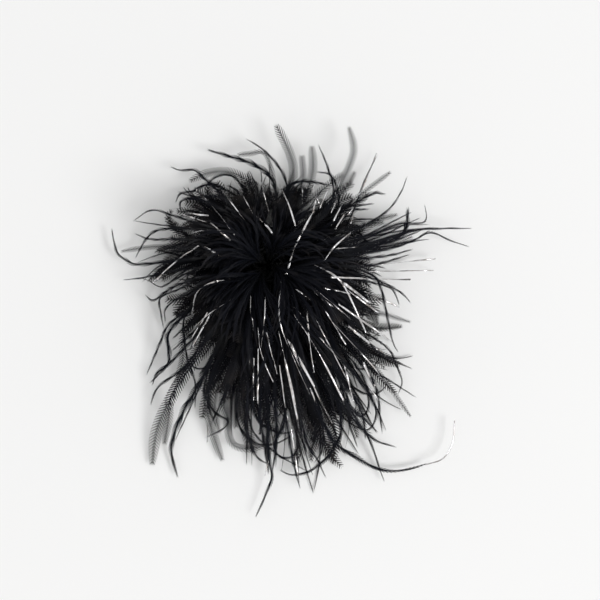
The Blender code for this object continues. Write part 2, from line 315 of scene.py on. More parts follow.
VANE_OPENING = 0.22  # the share of a barb over which its vane widens, from here on:
VANE_ROOT = 0.03
BLADE_GAP = 0.0003  # a blade lies at least this far above the sheet
ENDING = {"open": 0.15, "closed": 0.40, "under": 0.50}  # the share of a barb over which its vane narrows
COVER = {"open": 0.74, "closed": 1.05, "under": 1.05}  # the share of a vane that its blades fill
PAIR_LENGTH = 0.28  # how much longer and shorter than the mean open blades are, by turns
PAIR_WIDTH = 0.35  # and how much wider and narrower
UNEVEN = 0.22  # how much the other kinds' blades vary in length


def ostrich_black():
    """Dyed barbs: blue-black, greenish at the root and browner towards the tip, where the dye thins.
    Darker at the root as painted shade, and paler at the tip as painted light shining through it.
    """
    material = finish("ostrich_black", (0.005, 0.006, 0.009), 0.5, specular=0.07)
    tree = material.node_tree
    shader = tree.nodes["Principled BSDF"]
    shader.inputs["Sheen Weight"].default_value = 0.02
    shader.inputs["Sheen Roughness"].default_value = 0.4
    along = tree.nodes.new("ShaderNodeAttribute")
    along.attribute_name = "along"
    tint = tree.nodes.new("ShaderNodeAttribute")
    tint.attribute_name = "tint"
    dye_and_painted_light = tree.nodes.new("ShaderNodeValToRGB")
    ramp = dye_and_painted_light.color_ramp
    # The root's colour is olive from the dye, and darker as painted shade in the dense middle of the puff.
    ramp.elements[0].position = 0.0
    ramp.elements[0].color = (0.0022, 0.0022, 0.0016, 1)
    # The tip's colour is browner where the dye thins, and paler as painted light shining through the thin
    # tip.
    ramp.elements[1].position = 1.0
    ramp.elements[1].color = (0.014, 0.0125, 0.013, 1)
    middle = ramp.elements.new(0.35)
    middle.color = (0.0032, 0.0038, 0.0065, 1)
    late = ramp.elements.new(0.8)
    late.color = (0.0065, 0.0070, 0.0100, 1)
    vary = tree.nodes.new("ShaderNodeMix")
    vary.data_type = "RGBA"
    vary.blend_type = "MULTIPLY"
    vary.inputs["Factor"].default_value = 1.0
    tint_ramp = tree.nodes.new("ShaderNodeValToRGB")
    tint_ramp.color_ramp.elements[0].color = (0.45, 0.52, 0.70, 1)
    tint_ramp.color_ramp.elements[1].color = (1.5, 1.4, 1.2, 1)
    place = tree.nodes.new("ShaderNodeTexCoord")
    streaks = tree.nodes.new("ShaderNodeTexNoise")
    streaks.inputs["Scale"].default_value = 700
    streaks.inputs["Detail"].default_value = 2
    shine = tree.nodes.new("ShaderNodeMapRange")
    shine.inputs["From Min"].default_value = 0.3
    shine.inputs["From Max"].default_value = 0.7
    shine.inputs["To Min"].default_value = 0.38
    shine.inputs["To Max"].default_value = 0.62
    links = tree.links
    links.new(along.outputs["Fac"], dye_and_painted_light.inputs["Fac"])
    links.new(tint.outputs["Fac"], tint_ramp.inputs["Fac"])
    links.new(dye_and_painted_light.outputs["Color"], vary.inputs["A"])
    links.new(tint_ramp.outputs["Color"], vary.inputs["B"])
    links.new(vary.outputs["Result"], shader.inputs["Base Color"])
    links.new(place.outputs["Object"], streaks.inputs["Vector"])
    links.new(streaks.outputs["Fac"], shine.inputs["Value"])
    links.new(shine.outputs["Result"], shader.inputs["Roughness"])
    return material


OSTRICH = ostrich_black()


def unit(vectors):
    """The same directions, each one unit long."""
    return vectors / np.maximum(np.linalg.norm(vectors, axis=-1, keepdims=True), 1e-12)


UV_ROW_HALF = 0.42  # half the height that a row of the UV map uses
UV_MARGIN = 0.01


class Laid:
    """Points, faces and attributes of a piece that is being laid, barb by barb."""

    def __init__(self):
        self.points = []
        self.faces = []
        self.uv = []
        self.along = []
        self.tint = []
        self.rows = 0
        self.count = 0

    def add(self, points, faces, along, across, tint):
        self.points.append(points)
        self.faces.append(faces + self.count)
        self.uv.append(np.stack([along, self.rows + 0.5 + UV_ROW_HALF * across], axis=1))
        self.along.append(along)
        self.tint.append(np.full(len(points), tint))
        self.count += len(points)

    def piece(self, name, material):
        points = np.concatenate(self.points)
        faces = np.concatenate(self.faces)
        uv = np.concatenate(self.uv)
        uv[:, 0] = UV_MARGIN + (1 - 2 * UV_MARGIN) * np.clip(uv[:, 0], 0, 1)
        uv[:, 1] /= self.rows
        mesh = bpy.data.meshes.new(name)
        mesh.vertices.add(len(points))
        mesh.vertices.foreach_set("co", points.astype(np.float32).ravel())
        mesh.loops.add(len(faces) * 3)
        mesh.loops.foreach_set("vertex_index", faces.astype(np.int32).ravel())
        mesh.polygons.add(len(faces))
        mesh.polygons.foreach_set("loop_start", np.arange(0, len(faces) * 3, 3, dtype=np.int32))
        layer = mesh.uv_layers.new(name="OFBake")
        layer.data.foreach_set("uv", uv[faces.ravel()].astype(np.float32).ravel())
        for title, values in (("along", self.along), ("tint", self.tint)):
            attribute = mesh.attributes.new(title, "FLOAT", "POINT")
            attribute.data.foreach_set("value", np.concatenate(values).astype(np.float32))
        mesh.materials.append(material)
        mesh.update()
        mesh.validate()
        mesh.polygons.foreach_set("use_smooth", np.ones(len(mesh.polygons), dtype=bool))
        obj = bpy.data.objects.new(name, mesh)
        bpy.context.scene.collection.objects.link(obj)
        return obj


def along_path(path, places):
    """Points and directions of a path at places from 0 to 1 along it, and its whole length."""
    steps = np.linalg.norm(np.diff(path, axis=0), axis=1)
    run = np.concatenate([[0], np.cumsum(steps)])
    wanted = np.clip(places, 0, 1) * run[-1]
    points = np.stack([np.interp(wanted, run, path[:, axis]) for axis in range(3)], axis=1)
    tangents = unit(np.gradient(path, axis=0))
    ways = unit(np.stack([np.interp(wanted, run, tangents[:, axis]) for axis in range(3)], axis=1))
    return points, ways, run[-1]


def rolled(side, up, turn):
    """The directions across and above a path, turned about it."""
    across = side * np.cos(turn)[:, None] + up * np.sin(turn)[:, None]
    above = -side * np.sin(turn)[:, None] + up * np.cos(turn)[:, None]
    return across, above


def barb_directions(ways, roll, place):
    """The directions across and above a barb, at places along it."""
    side = unit(np.cross(ways, [0, 0, 1.0]) + 1e-6)
    return rolled(side, np.cross(side, ways), roll[0] + roll[1] * place)


def lay_shaft(laid, kind, path, roll, tint):
    """Bends one straight shaft onto a path."""
    (shaft_points, shaft_faces), radius = SHAFTS[kind]
    place = shaft_points[:, 2]
    points, ways, _ = along_path(path, place)
    across, above = barb_directions(ways, roll, place)
    thick = radius * (1 - SHAFT_TAPER * place**1.8)
    placed = points + across * (shaft_points[:, 0] * thick)[:, None]
    placed = placed + above * (shaft_points[:, 1] * thick * SHAFT_FLATNESS)[:, None]
    laid.add(placed, shaft_faces, place, 0.25 * shaft_points[:, 0], tint)


def lay_barb(laid, kind, path, half_width, lean, roll, droop, tint):
    """Bends one straight barb onto a path.

    half_width is the vane's, lean how far a blade's tip is ahead of its foot, roll turns the vane about
    the shaft, and droop lets the blades hang.
    """
    lay_shaft(laid, kind, path, roll, tint)

    _, _, length = along_path(path, np.zeros(1))
    vane_points, vane_faces = vane_of(kind, length)
    foot = VANE_START + VANE_LENGTH * vane_points[:, 2]
    out = np.abs(vane_points[:, 0])
    sign = np.where(vane_points[:, 0] < 0, -1.0, 1.0)
    blade = np.round(vane_points[:, 2] * 1000).astype(int)
    blades = np.unique(blade)
    blade_half = 0.5 * length / len(blades) * COVER[kind]
    if kind == "open":
        turns = np.cos(np.pi * np.searchsorted(blades, blade))  # 1 and -1, from one blade to the next
        uneven = 1 + PAIR_LENGTH * turns
        blade_half = blade_half * (1 + PAIR_WIDTH * turns)
    else:
        which = blade * 12.9898 + tint * 78.233 + 40 * np.sign(vane_points[:, 0] + 1e-9)
        uneven = 1 + UNEVEN * np.sin(which)

    started = np.clip((foot - VANE_ROOT) / VANE_OPENING, 0, 1) ** 0.8
    grown = started * np.clip((1.005 - foot) / ENDING[kind], 0, 1) ** 0.5
    reach_out = half_width * grown * uneven
    ahead = lean * out * (0.75 + 0.25 * out) * np.maximum(grown, 0.5)
    place = foot + (ahead + vane_points[:, 1] * blade_half) / length

    _, ways, _ = along_path(path, foot)
    across, above = barb_directions(ways, roll, foot)
    carried, _, _ = along_path(path, place)
    overrun = np.maximum(0, place - 1) * length
    placed = carried + ways * overrun[:, None]
    placed = placed + across * (sign * out * reach_out)[:, None]
    placed = placed - above * (droop * out**2 * reach_out)[:, None]
    placed[:, 2] = np.maximum(placed[:, 2], BLADE_GAP)
    laid.add(placed, vane_faces, np.clip(place, 0, 1), np.clip(vane_points[:, 0], -1, 1), tint)
    laid.rows += 1


# Tufts. Each is a bunch of some fifty barbs, sewn to the heading at one place, and spreads into
# a few locks. They lie in four rings: outer, middle, inner and crown.

COMB_WAY = math.radians(272)  # the way the tips have been combed
# How much longer the barbs are on each side, and how much closer they lie, by azimuth in degrees
SIDES = (0, 15, 45, 75, 105, 135, 195, 225, 255, 270, 285, 300, 320, 345, 360)
LONGER = (1.03, 1.13, 0.80, 0.85, 0.80, 0.97, 1.02, 0.76, 0.91, 1.00, 0.90, 1.02, 0.77, 0.87, 1.03)
CLOSER = (0.8, 0.8, 0.35, 0.65, 0.85, 1.0, 0.95, 1.10, 1.00, 0.95, 0.95, 1.05, 1.20, 1.00, 0.8)
FLOOR_GAP = 0.0006
SPINE_STATIONS = 9
LOCKS = 4
PATH_STEPS = 30
WAVE = 0.07  # the most that a barb ripples, in radians
COMB_PULL = 0.34  # the most that a barb's tip is turned to the way of the comb, in radians
SAG = 0.10  # how far every barb droops by its tip, in radians
HOOK_START = 0.62  # where along a barb its hook begins
ROOT_SCATTER = 0.0012
FLOOR_SCATTER = 0.0012  # the most that a barb on the sheet lies above the floor gap


def spine_of(name):
    """The middle line of a CAD tuft, from its root to its tip."""
    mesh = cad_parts[name].data
    points = np.empty(len(mesh.vertices) * 3)
    mesh.vertices.foreach_get("co", points)
    points = np.unique(np.round(points.reshape(-1, 3), 6), axis=0)
    radius = np.hypot(points[:, 0], points[:, 1])
    low, high = radius.min(), radius.max()
    spread = 0.07 * (high - low)
    line = []
    for target in np.linspace(low, high, SPINE_STATIONS):
        weight = np.exp(-(((radius - target) / spread) ** 2))
        line.append((points * weight[:, None]).sum(0) / weight.sum())
    return np.array(line)


def grown_paths(spine, count, rng, spread, lift, fall, length, curl, hook):
    """Paths that leave a spine's root together and fan out from it, in a few locks."""
    run = np.concatenate([[0], np.cumsum(np.linalg.norm(np.diff(spine, axis=0), axis=1))])
    total = run[-1]
    ways = np.gradient(spine, axis=0)
    azimuths = np.unwrap(np.arctan2(ways[:, 1], ways[:, 0]))
    slopes = np.arctan2(ways[:, 2], np.hypot(ways[:, 0], ways[:, 1]))
    lock_turn = rng.uniform(-spread, spread, LOCKS)
    lock_bend = rng.normal(0, 0.9, LOCKS) * curl
    lock_lift = rng.normal(0, 0.5, LOCKS) * lift
    lock = rng.integers(0, LOCKS, count)
    turn = lock_turn[lock] + rng.normal(0, 0.28 * spread, count)
    rise = lock_lift[lock] + rng.normal(0, 0.6, count) * lift
    shortest, longest = length
    reach = total * (shortest + (longest - shortest) * rng.random(count) ** 0.85)
    reach *= np.interp(np.degrees(azimuths[-1] + turn) % 360, SIDES, LONGER)
    bend = lock_bend[lock] + rng.normal(0, 0.7, count) * curl
    hooked = rng.choice([-1, 1], count) * rng.uniform(0.9, 2.6, count)
    hooked = np.where(rng.random(count) < hook, hooked, 0)
    drape = fall * rng.uniform(0.25, 1.3, count)
    phase = rng.uniform(0, 2 * math.pi, count)
    ripple = rng.uniform(0.3, 1, count) * WAVE
    place = spine[0] + rng.normal(0, ROOT_SCATTER, (count, 3))
    paths = [place]
    for step in range(PATH_STEPS):
        t = (step + 0.5) / PATH_STEPS
        travelled = t * reach
        azimuth = np.interp(travelled, run, azimuths)
        slope = np.interp(travelled, run, slopes)
        azimuth = azimuth + turn * (0.35 + 0.65 * min(1, 2.2 * t))
        azimuth = azimuth + COMB_PULL * t**1.5 * np.sin(COMB_WAY - azimuth)
        azimuth = azimuth + bend * t**2 + hooked * max(0, (t - HOOK_START) / (1 - HOOK_START)) ** 1.6
        azimuth = azimuth + ripple * np.sin(phase + 7 * t)
        slope = slope + rise * (1 - 0.6 * t) - SAG * t - drape * t**1.6
        slope = slope + 0.5 * ripple * np.cos(phase + 5 * t)
        stride = reach / PATH_STEPS
        way = np.stack(
            [np.cos(slope) * np.cos(azimuth), np.cos(slope) * np.sin(azimuth), np.sin(slope)], axis=1
        )
        place = place + way * stride[:, None]
        place[:, 2] = np.maximum(place[:, 2], FLOOR_GAP + FLOOR_SCATTER * rng.random(count))
        paths.append(place)
    return np.stack(paths, axis=1)


RINGS = {
    # how many barbs of each kind a tuft has, how far they spread, rise and fall in radians, the least and
    # most of the tuft's length that the closed ones reach, how far they curl, and the share with a hook
    "outer": dict(
        open=15, closed=22, under=14, spread=0.38, lift=0.10, fall=0.0,
        length=(0.52, 1.04), curl=0.44, hook=0.12,
    ),
    "middle": dict(
        open=11, closed=30, under=21, spread=0.44, lift=0.20, fall=0.20,
        length=(0.54, 1.08), curl=0.38, hook=0.08,
    ),
    "inner": dict(
        open=3, closed=40, under=26, spread=0.50, lift=0.28, fall=0.60,
        length=(0.60, 1.25), curl=0.30, hook=0.06,
    ),
    "crown": dict(
        open=0, closed=48, under=16, spread=0.95, lift=0.24, fall=1.7,
        length=(0.62, 1.32), curl=0.28, hook=0.04,
    ),
}
LOOKS = {
    # half width of the vane, least and most, and how far a blade leans ahead
    "open": ((0.0022, 0.0032), 0.0031),
    "closed": ((0.0006, 0.0012), 0.0046),
    "under": ((0.0012, 0.0020), 0.0050),
}
OPEN_REACH = (0.60, 0.98)  # the least and most of the tuft's length
UNDER_REACH = (0.42, 0.72)
LAID_PATHS = []


def tint_of(kind, rng):
    """Thin, open barbs have taken the dye less and are browner than closed ones."""
    return rng.uniform(0.6, 1.0) if kind == "open" else rng.uniform(0.0, 0.6)


def tuft(number, name):
    """Lays a tuft's barbs along the middle line of its CAD node, and puts the piece in its place."""
    rng = np.random.default_rng(1000 + number)
    settings = RINGS[name.split("_")[0]]
    reaches = {"open": OPEN_REACH, "closed": settings["length"], "under": UNDER_REACH}
    spine = spine_of(name)
    side = math.degrees(math.atan2(spine[-1, 1], spine[-1, 0])) % 360
    closeness = np.interp(side, SIDES, CLOSER)
    laid = Laid()
    for kind, (width, lean) in LOOKS.items():
        count = settings[kind] if kind == "open" else round(settings[kind] * closeness)
        paths = grown_paths(
            spine, count, rng, settings["spread"], settings["lift"], settings["fall"], reaches[kind],
            settings["curl"], settings["hook"],
        )
        LAID_PATHS.append(paths)
        for path in paths:
            lay_barb(
                laid, kind, path,
                half_width=rng.uniform(*width),
                lean=lean * rng.uniform(0.8, 1.2),
                roll=(rng.normal(0, 0.5), rng.normal(0, 0.6)),
                droop=rng.uniform(0.0, 0.35),
                tint=tint_of(kind, rng),
            )
    piece = laid.piece(name.replace("tuft", "plume"), OSTRICH)
    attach(piece, "root")
    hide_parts(name)


for number, name in enumerate(sorted(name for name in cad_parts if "_tuft_" in name)):
    tuft(number, name)


# Stray barbs. Single barbs that have come out of the mass, by the side they are on. Some are open
# and soft, some closed and crisp, and the longest are hooked. Each lies on the tufts to their edge.

CLOUD = np.concatenate([paths.reshape(-1, 3) for paths in LAID_PATHS])
FEATHER_EDGE = 0.004  # the height at which the feather thins out on the sheet
NEARBY = 0.005
TOO_FEW_NEARBY = 6
TOP_PERCENT = 94  # the upper side has so many of every hundred points below it
POINTS_PER_SPAN = 14
CLOSED_WIDER = 1.4  # closed single barbs, against the half widths below
LYING_ABOVE = 0.0015  # how far above the feather a single barb lies
ROOT_DEPTH = 0.012  # how far its root is sunk into the feather
RIPPLE = 0.0012  # how far it waves up and down
STRAY_STEPS = 56


def smoothed(values, times):
    """The values with their kinks evened out, as many times as given."""
    for _ in range(times):
        values = np.convolve(np.pad(values, 1, mode="edge"), [0.25, 0.5, 0.25], mode="valid")
    return values


def feather_top(points):
    """The height of the feather's upper side at each point, as a smooth line."""
    tops = []
    for x, y, _ in points:
        near = CLOUD[(abs(CLOUD[:, 0] - x) < NEARBY) & (abs(CLOUD[:, 1] - y) < NEARBY)]
        tops.append(np.percentile(near[:, 2], TOP_PERCENT) if len(near) > TOO_FEW_NEARBY else FEATHER_EDGE)
    return smoothed(np.array(tops), 6)


def flat_place(azimuth, radius):
    """A place on the sheet, from its azimuth in degrees and its radius in mm."""
    angle = math.radians(azimuth)
    return radius / 1000 * math.cos(angle), radius / 1000 * math.sin(angle), 0


def smooth_line(places, steps):
    """A flat, smooth line through places given as azimuth in degrees and radius in mm."""
    corners = np.array([flat_place(azimuth, radius) for azimuth, radius in places])
    before = 2 * corners[0] - corners[1]
    after = 2 * corners[-1] - corners[-2]
    padded = np.concatenate([[before], corners, [after]])
    line = []
    for a, b, c, d in zip(padded, padded[1:], padded[2:], padded[3:]):
        for t in np.linspace(0, 1, POINTS_PER_SPAN, endpoint=False):
            squared = (2 * a - 5 * b + 4 * c - d) * t**2
            cubed = (3 * b - a - 3 * c + d) * t**3
            line.append(0.5 * (2 * b + (c - a) * t + squared + cubed))
    line.append(corners[-1])
    points, _, _ = along_path(np.array(line), np.linspace(0, 1, steps))
    return points


STRAYS = {
    # the kind, half width and tip's height in mm, then places as azimuth in degrees and radius in mm
    "right": [
        ("closed", 0.7, 9, [(13, 25), (12, 67), (13, 81), (13, 94), (12, 104), (11, 115), (10, 126)]),
        ("closed", 0.6, 7, [(6, 25), (9, 84), (11, 96), (11, 102), (8, 110), (5, 123)]),
        ("closed", 0.5, 14, [(20, 30), (16, 64), (17, 76), (17, 84), (15, 97), (17, 100), (21, 101)]),
        ("closed", 1.6, 12, [(8, 40), (11, 75), (13, 84), (17, 88), (22, 91)]),
        ("closed", 0.5, 20, [(18, 40), (21, 58), (23, 72), (25, 82), (29, 92), (32, 98)]),
        ("open", 1.2, 14, [(20, 40), (22, 60), (22, 72), (21, 84)]),
        ("open", 1.5, 12, [(24, 40), (23, 58), (20, 75)]),
        ("closed", 0.6, 11, [(8, 30), (10, 70), (12, 90), (13, 97)]),
        ("closed", 0.6, 9, [(5, 30), (7, 72), (10, 92), (12, 100)]),
        ("closed", 0.6, 12, [(14, 30), (15, 65), (14, 85), (13, 96)]),
        ("open", 1.5, 8, [(10, 30), (12, 60), (13, 78), (13, 92)]),
        ("open", 1.5, 8, [(6, 30), (8, 60), (9, 76), (11, 90)]),
        ("closed", 0.8, 6, [(2, 30), (4, 70), (6, 88)]),
        ("closed", 0.5, 10, [(10, 40), (14, 70), (16, 84), (17, 96)]),
        ("closed", 0.5, 12, [(12, 40), (17, 66), (19, 80), (20, 92)]),
        ("closed", 0.5, 9, [(8, 40), (12, 76), (13, 92), (12, 106)]),
        ("closed", 0.4, 11, [(14, 40), (16, 72), (16, 86), (14, 100)]),
        ("closed", 0.5, 8, [(4, 40), (8, 76), (9, 90), (9, 99)]),
        ("open", 1.3, 10, [(12, 40), (15, 64), (17, 78), (17, 90)]),
        ("closed", 0.7, 6, [(358, 30), (359, 60), (4, 86)]),
    ],
    "left": [
        ("closed", 0.9, 6, [
            (172, 25), (177, 50), (179, 65), (180, 81), (178, 87), (176, 92), (172, 95), (167, 98),
        ]),
        ("open", 1.3, 7, [(168, 30), (170, 55), (171, 68), (173, 80), (175, 91)]),
        ("closed", 0.7, 10, [(160, 35), (165, 58), (167, 66), (168, 75), (167, 83)]),
        ("closed", 0.7, 8, [(150, 40), (160, 62), (164, 72), (170, 77), (177, 81)]),
        ("closed", 0.6, 9, [(140, 25), (150, 48), (153, 65), (155, 78), (162, 86)]),
        ("closed", 0.5, 9, [(150, 30), (157, 55), (160, 70), (162, 86)]),
        ("closed", 0.6, 5, [(183, 30), (184, 55), (185, 66), (186, 78), (186, 89)]),
        ("closed", 0.9, 6, [(190, 30), (193, 55), (195, 65), (197, 71), (197, 75), (194, 77)]),
        ("closed", 0.6, 5, [(192, 35), (196, 58), (197, 69), (204, 72), (211, 75)]),
        ("closed", 0.5, 6, [(175, 28), (188, 52), (192, 66), (188, 73), (186, 78)]),
        ("closed", 0.7, 6, [(198, 30), (200, 55), (203, 68), (209, 72)]),
    ],
    "lower_right": [
        ("closed", 1.3, 5, [
            (286, 30), (288, 70), (290, 112), (295, 130), (298, 141), (303, 150), (309, 156),
        ]),
        ("closed", 1.0, 4, [(300, 40), (299, 90), (300, 121), (299, 136), (298, 151)]),
        ("closed", 0.9, 5, [(296, 60), (298, 100), (301, 124), (305, 136)]),
        ("open", 1.3, 6, [(318, 40), (316, 86), (315, 100), (314, 113), (313, 128)]),
        ("closed", 0.5, 7, [(310, 60), (314, 85), (316, 100), (318, 121)]),
        ("closed", 0.6, 6, [(324, 60), (325, 88), (322, 98), (319, 108), (315, 112)]),
        ("closed", 0.7, 10, [(0, 35), (355, 60), (350, 68), (338, 77), (328, 89), (326, 95)]),
        ("open", 1.2, 9, [(340, 30), (336, 65), (337, 80), (338, 94)]),
        ("closed", 0.8, 8, [(330, 40), (322, 75), (322, 91), (324, 108)]),
        ("closed", 0.7, 10, [(356, 40), (352, 65), (348, 82), (345, 89)]),
        ("closed", 0.7, 9, [(352, 40), (350, 62), (349, 76), (343, 83)]),
        ("closed", 0.8, 4, [(306, 50), (308, 95), (306, 112), (301, 118), (298, 112)]),
        ("closed", 0.7, 4, [(312, 50), (310, 90), (304, 108), (300, 106), (303, 99)]),
        ("closed", 0.8, 5, [(314, 60), (312, 95), (306, 116), (304, 124)]),
        ("open", 1.6, 4, [(304, 50), (303, 90), (302, 108), (300, 118)]),
        ("closed", 1.0, 4, [(298, 50), (299, 92), (302, 112), (303, 122)]),
        ("closed", 0.9, 4, [(302, 50), (303, 88), (302, 108), (299, 122)]),
        ("closed", 0.8, 4, [(304, 50), (301, 90), (297, 108), (296, 124)]),
        ("open", 2.0, 4, [(296, 50), (297, 90), (298, 108), (297, 120)]),
    ],
    "bottom": [
        ("closed", 1.0, 4, [(270, 40), (270, 90), (270, 116), (271, 129), (269, 142), (267, 155)]),
        ("closed", 1.0, 5, [(266, 50), (267, 90), (269, 112), (270, 128)]),
        ("closed", 1.0, 5, [(274, 50), (273, 95), (272, 115), (271, 127)]),
        ("open", 2.0, 4, [(268, 40), (269, 90), (270, 124)]),
        ("closed", 1.0, 5, [
            (302, 50), (299, 80), (294, 109), (288, 121), (284, 126), (280, 129), (276, 129), (273, 125),
        ]),
        ("closed", 0.5, 6, [(258, 60), (264, 98), (272, 114), (277, 122), (281, 129)]),
        ("closed", 0.8, 5, [(284, 60), (282, 107), (284, 122), (285, 135)]),
        ("closed", 0.8, 5, [(276, 60), (277, 115), (278, 138)]),
        ("open", 2.1, 7, [
            (252, 40), (251, 70), (252, 87), (255, 95), (256, 102), (258, 110), (261, 113), (266, 112),
            (271, 109),
        ]),
        ("closed", 0.8, 5, [(255, 60), (258, 92), (262, 104), (267, 110), (273, 109), (278, 105)]),
        ("closed", 0.8, 5, [(262, 50), (264, 85), (268, 97), (274, 103), (279, 103)]),
        ("closed", 0.9, 5, [(280, 60), (276, 95), (272, 108), (273, 117), (277, 118), (280, 111)]),
        ("open", 2.4, 4, [(280, 50), (280, 95), (279, 112), (277, 124)]),
        ("open", 2.2, 4, [(288, 50), (287, 95), (284, 112), (282, 124)]),
        ("closed", 0.8, 5, [(292, 60), (289, 100), (286, 118), (283, 124)]),
        ("closed", 0.9, 5, [(264, 60), (262, 95), (266, 116), (270, 122)]),
    ],
    "top": [
        ("open", 1.9, 14, [(36, 25), (43, 50), (47, 63), (51, 79), (54, 88), (60, 97)]),
        ("open", 2.3, 14, [(70, 30), (74, 55), (79, 68), (87, 85)]),
        ("open", 2.2, 12, [(60, 30), (62, 50), (65, 64), (70, 77)]),
        ("closed", 0.7, 14, [(38, 30), (45, 55), (57, 67), (67, 78)]),
        ("closed", 0.7, 12, [(60, 22), (72, 40), (79, 53), (87, 63), (94, 71), (100, 77)]),
        ("closed", 1.2, 10, [(75, 25), (86, 49), (97, 60), (109, 69), (118, 79)]),
        ("open", 1.4, 10, [(82, 40), (91, 66), (100, 68), (106, 69)]),
        ("closed", 0.9, 8, [(118, 22), (122, 42), (125, 57), (127, 66), (128, 73), (133, 78), (135, 84)]),
        ("open", 2.2, 8, [(85, 25), (97, 44), (107, 55), (115, 62), (125, 67), (134, 70)]),
        ("closed", 0.9, 8, [(112, 30), (126, 50), (137, 60), (141, 70)]),
        ("closed", 0.9, 7, [(122, 30), (136, 56), (144, 66), (149, 62)]),
        ("closed", 0.8, 7, [(110, 40), (125, 60), (136, 64), (141, 69), (146, 68)]),
        ("closed", 0.8, 9, [(104, 40), (112, 58), (122, 62), (130, 60)]),
        ("open", 1.3, 16, [(36, 35), (37, 55), (37, 72), (37, 93)]),
        ("closed", 1.3, 14, [(42, 40), (35, 67), (34, 77), (31, 82)]),
        ("closed", 0.8, 14, [(42, 35), (36, 58), (33, 65), (30, 73)]),
        ("closed", 0.8, 13, [(44, 38), (35, 56), (32, 62), (29, 69)]),
        ("closed", 1.0, 16, [(84, 35), (74, 50), (69, 53), (63, 56), (53, 60)]),
        ("closed", 0.7, 15, [(34, 40), (40, 55), (48, 62), (55, 66), (62, 63)]),
        ("open", 1.5, 14, [(42, 35), (44, 62), (47, 77)]),
        ("open", 2.0, 16, [(30, 45), (33, 62), (36, 74)]),
        ("closed", 0.4, 13, [(24, 50), (33, 62), (41, 77), (45, 93)]),
        ("open", 2.2, 16, [(44, 40), (46, 58), (44, 71)]),
        ("open", 1.9, 18, [(58, 40), (53, 58), (50, 71)]),
        ("open", 1.7, 12, [(66, 40), (68, 56), (73, 69)]),
    ],
    "lower_left": [
        ("open", 2.9, 4, [(229, 30), (233, 82), (234, 101), (236, 122), (240, 143)]),
        ("open", 2.2, 4, [(226, 40), (233, 95), (237, 112), (240, 128)]),
        ("closed", 1.4, 4, [(236, 40), (240, 81), (240, 105), (242, 127), (247, 142)]),
        ("closed", 0.5, 4, [(238, 50), (241, 90), (242, 122)]),
        ("closed", 0.9, 6, [(228, 30), (231, 78), (229, 91), (228, 102), (230, 112)]),
        ("closed", 0.8, 5, [(224, 40), (225, 70), (225, 92), (225, 102)]),
        ("closed", 0.7, 6, [(208, 40), (211, 69), (215, 79), (219, 90), (222, 100)]),
        ("closed", 1.0, 6, [(205, 40), (214, 72), (219, 78), (223, 82), (225, 87), (224, 94), (226, 102)]),
        ("closed", 0.6, 9, [(203, 45), (213, 60), (222, 68), (230, 76), (238, 84), (243, 98)]),
        ("open", 2.2, 4, [(240, 40), (244, 83), (248, 98), (253, 112), (257, 124)]),
        ("open", 1.6, 4, [(236, 40), (243, 80), (250, 96), (254, 108)]),
        ("closed", 0.7, 6, [(238, 60), (243, 85), (250, 96), (256, 98), (254, 105), (250, 112)]),
        ("closed", 0.7, 6, [(240, 60), (246, 90), (252, 104)]),
        ("open", 1.8, 6, [(214, 40), (220, 66), (228, 78), (232, 92)]),
    ],
}

for number, (side_of_puff, barbs) in enumerate(STRAYS.items()):
    rng = np.random.default_rng(300 + number)
    laid = Laid()
    for kind, half_width, tip_height, places in barbs:
        path = smooth_line(places, STRAY_STEPS)
        share = np.linspace(0, 1, len(path))
        tip = tip_height / 1000
        resting = feather_top(path) + LYING_ABOVE - ROOT_DEPTH * (1 - share) ** 6
        fall = tip + (resting[0] - tip) * (1 - share) ** 1.5
        path[:, 2] = smoothed(np.maximum(resting, fall) * (1 - share**4) + tip * share**4, 8)
        path[:, 2] += RIPPLE * np.sin(share * rng.uniform(4, 8) + rng.uniform(0, 6))
        path[:, 2] = np.maximum(path[:, 2], FLOOR_GAP)
        lay_barb(
            laid, kind, path,
            half_width=half_width / 1000 * (CLOSED_WIDER if kind == "closed" else 1.0),
            lean=LOOKS[kind][1],
            roll=(rng.normal(0, 0.15), rng.normal(0, 0.25)),
            droop=rng.uniform(0.0, 0.2),
            tint=tint_of(kind, rng),
        )
    piece = laid.piece(f"stray_plumes_{side_of_puff}", OSTRICH)
    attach(piece, "root")
    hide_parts(f"stray_barb_{number + 1}")


# Tinsel. Flat strips of silver film, sewn in with the barbs. They are stiff and nearly straight,
# lie on the feather or just in it. Each is twisted, and shines where it faces the window.

STRIP_THICKNESS = 0.00010
STRIP_NARROWER = 0.80  # against the widths below
STRIP_STEPS = 40
TURNING_SHARE = 0.07  # the share of a strip over which it turns away from the light
TWIST = 0.10  # how far it twists to and fro, in radians
HIDDEN_DEPTH = 0.0016  # a strip's height against the feather's upper side where it doesn't shine
SHOWN_RISE = 0.0042  # and how much higher it lies where it shines
MOST_RAISED = 0.003  # the most that a strip is raised to clear the feather where it shines
LOWEST_STRIP = 0.0015


